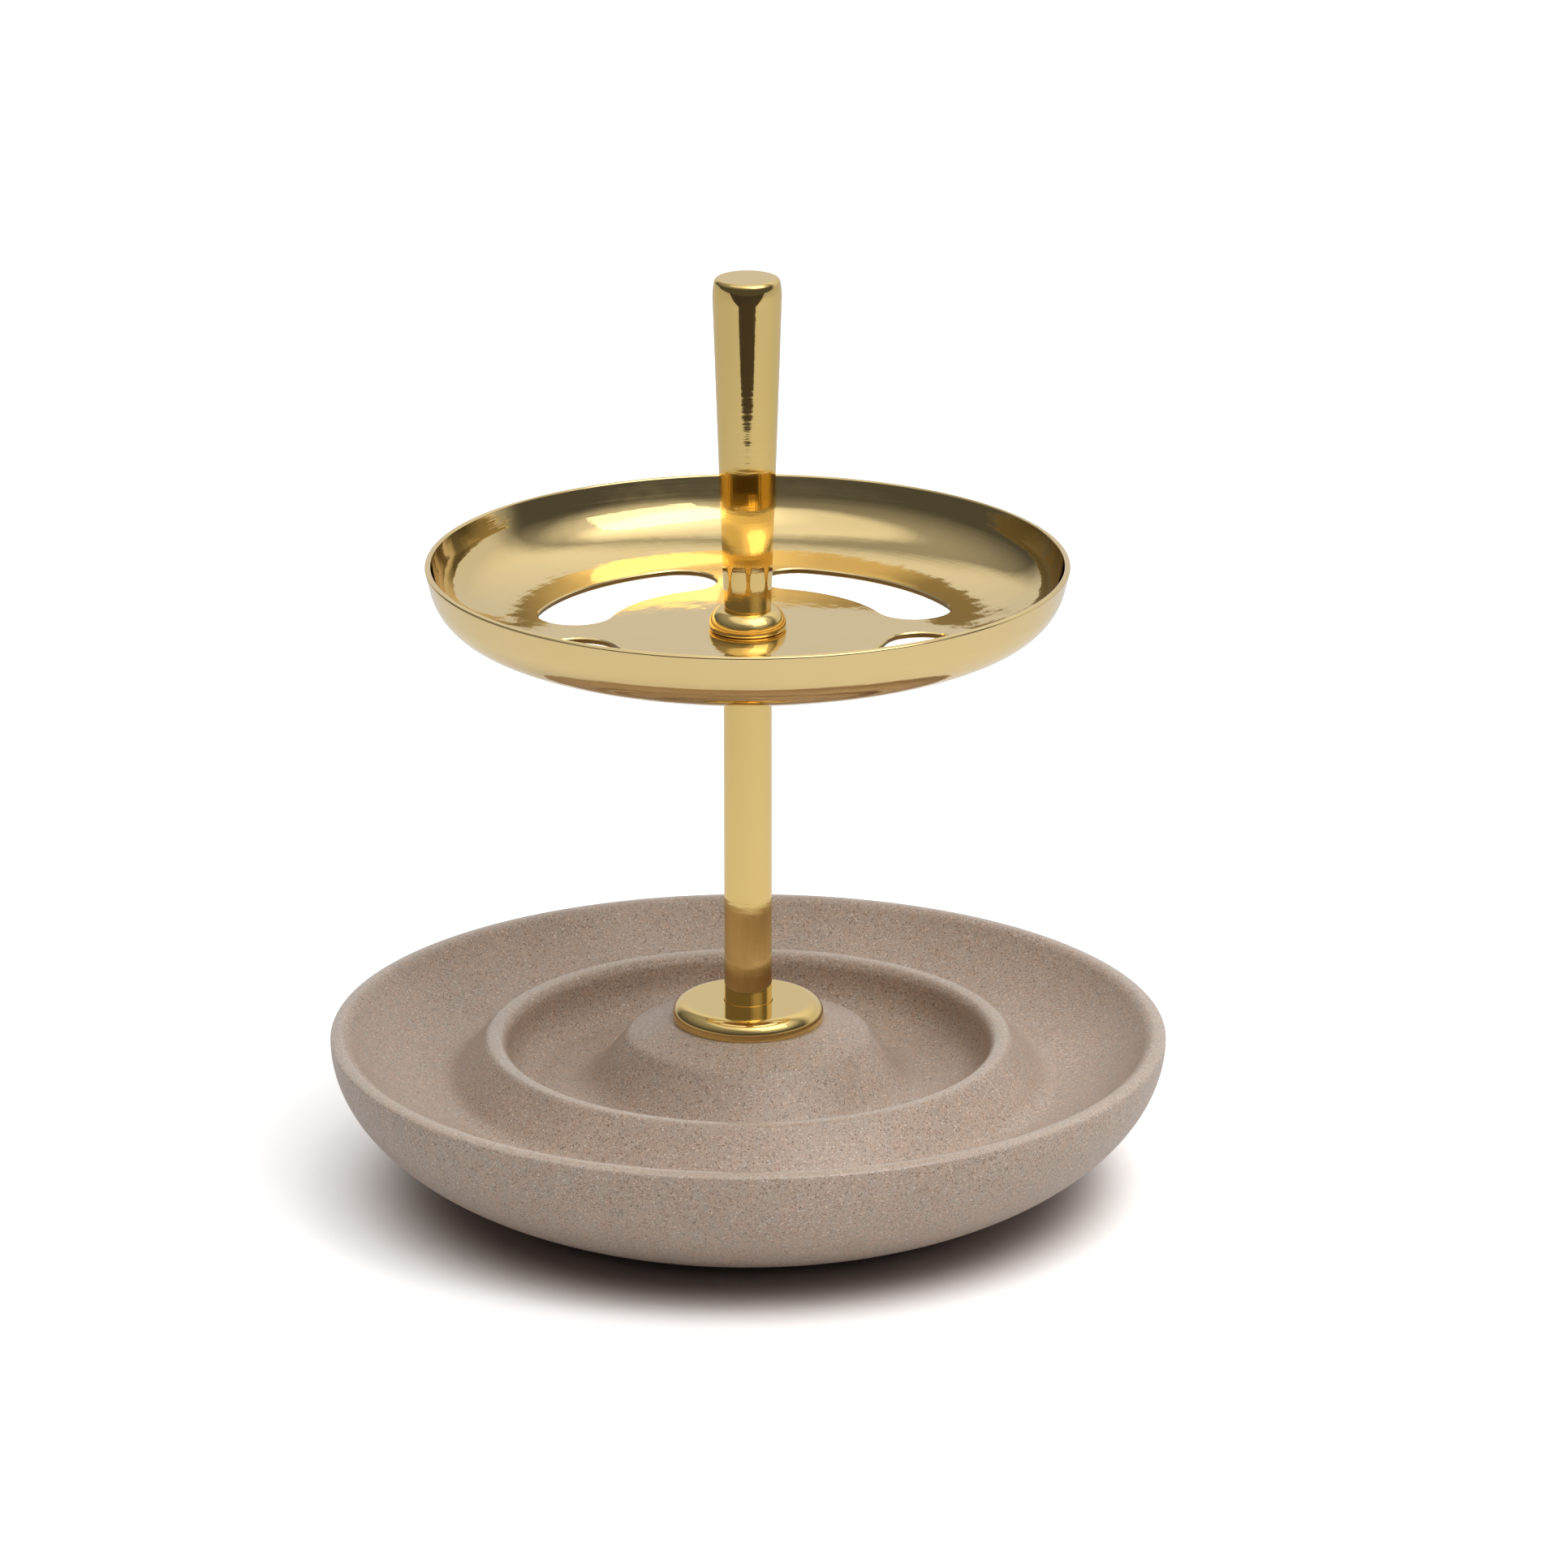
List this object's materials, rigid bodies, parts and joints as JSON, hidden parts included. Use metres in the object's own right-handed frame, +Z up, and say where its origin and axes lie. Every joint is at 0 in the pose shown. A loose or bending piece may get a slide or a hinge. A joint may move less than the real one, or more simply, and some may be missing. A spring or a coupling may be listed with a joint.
{
  "type": "pen stand",
  "caption": "Round desk pen stand: a turned stone base with a ring-shaped well and trough, and a brass post that carries a slotted brass dish under a screw-on handle.",
  "frame": {"origin": "on the table, at the middle of the felt pad's underside, on the axis of the post", "axes": "+Z up along the post, +X to the right and -Y towards someone who faces the stand"},
  "size_m": [0.14, 0.14, 0.1569],
  "materials": {
    "stone": "satin",
    "polished_brass": "polished",
    "zinc_plated_steel": "satin",
    "rubber": "matte",
    "felt": "matte"
  },
  "bodies": {
    "stand": {"stone_base": "stone", "base_pad": "felt", "soft_washer": "rubber", "steel_washer": "zinc_plated_steel", "base_screw": "zinc_plated_steel", "foot_flange": "polished_brass", "stem": "polished_brass", "dish_washer": "polished_brass", "top_stud": "zinc_plated_steel"},
    "dish": {"dish": "polished_brass"},
    "collar": {"collar": "polished_brass"},
    "handle": {"handle": "polished_brass"}
  },
  "joints": [
    {"name": "dish_swivel", "type": "hinge", "parent": "stand", "child": "dish", "pos_m": [0, 0, 0.0967], "axis": [0, 0, 1], "continuous": true},
    {"name": "handle_turn", "type": "hinge", "parent": "stand", "child": "collar", "pos_m": [0, 0, 0.099], "axis": [0, 0, 1], "range_deg": [0, 3960]},
    {"name": "handle_lift", "type": "slide", "parent": "collar", "child": "handle", "axis": [0, 0, 1], "range_m": [0, 0.0088]}
  ],
  "couplings": [
    {"joint": "handle_turn", "follows": "handle_lift", "rad_per_m": 7853.9}
  ]
}
